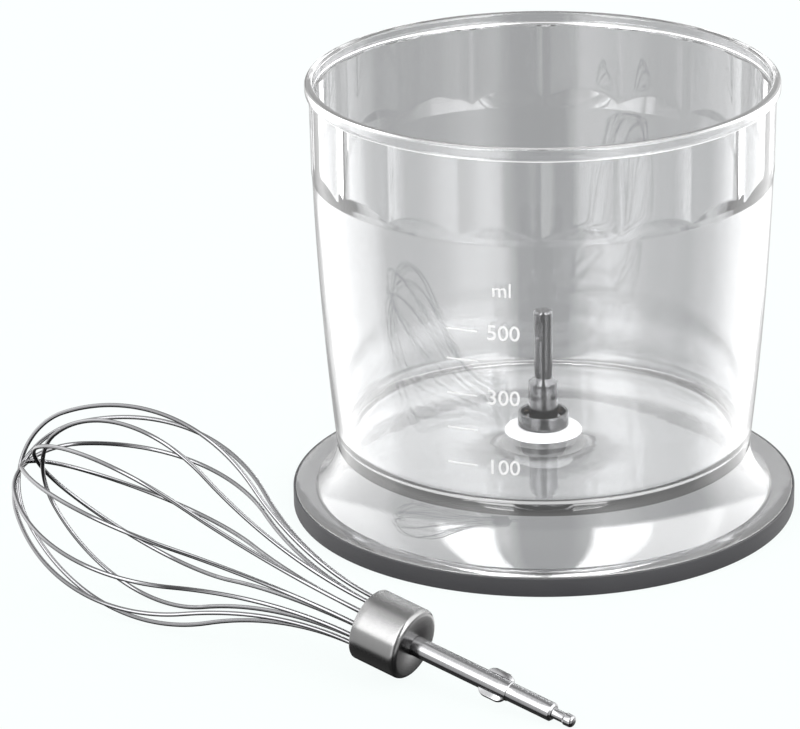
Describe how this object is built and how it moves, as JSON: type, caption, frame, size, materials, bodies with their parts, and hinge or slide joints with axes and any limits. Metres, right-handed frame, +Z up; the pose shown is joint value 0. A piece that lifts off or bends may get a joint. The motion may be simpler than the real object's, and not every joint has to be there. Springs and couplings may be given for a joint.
{
  "type": "immersion blender attachment set",
  "caption": "Chopper bowl for a hand-held stick blender, clear with a flared foot, rubber ring and steel blade spindle, with a balloon whisk lying beside it.",
  "frame": {"origin": "on the bowl's axis, at the height of the table that the anti-slip ring stands on", "axes": "+Z up along the bowl's axis and the spindle; -Y is the front, where the whisk lies to the left"},
  "size_m": [0.2119, 0.2192, 0.122],
  "materials": {
    "clear_plastic": "clear, polished mould",
    "grey_rubber": "matte",
    "polished_steel": "turned and polished",
    "brushed_steel": "fine brushed round the axis",
    "whisk_wire": "drawn wire, polished",
    "spring_steel": "plain",
    "bearing_bronze": "plain",
    "thrust_plastic": "plain",
    "plug_plastic": "plain"
  },
  "bodies": {
    "bowl": {"bowl_shell": "clear_plastic", "anti_slip_ring": "grey_rubber", "bearing_cup": "polished_steel", "spindle_bush": "bearing_bronze", "thrust_washer": "thrust_plastic"},
    "spindle": {"spindle_shaft": "polished_steel", "retaining_clip": "spring_steel"},
    "whisk": {"whisk_ferrule": "brushed_steel", "wire_plug": "plug_plastic", "whisk_shaft": "polished_steel", "wire_loop_1": "whisk_wire", "wire_loop_2": "whisk_wire", "wire_loop_3": "whisk_wire", "wire_loop_4": "whisk_wire", "wire_loop_5": "whisk_wire", "wire_loop_6": "whisk_wire"}
  },
  "joints": [
    {"name": "spindle_spin", "type": "hinge", "parent": "bowl", "child": "spindle", "pos_m": [0, 0, 0.04], "axis": [0, 0, 1], "continuous": true},
    {"name": "whisk_lift", "type": "slide", "parent": "bowl", "child": "whisk", "axis": [0, 0, 1], "range_m": [0, 0.15]}
  ]
}
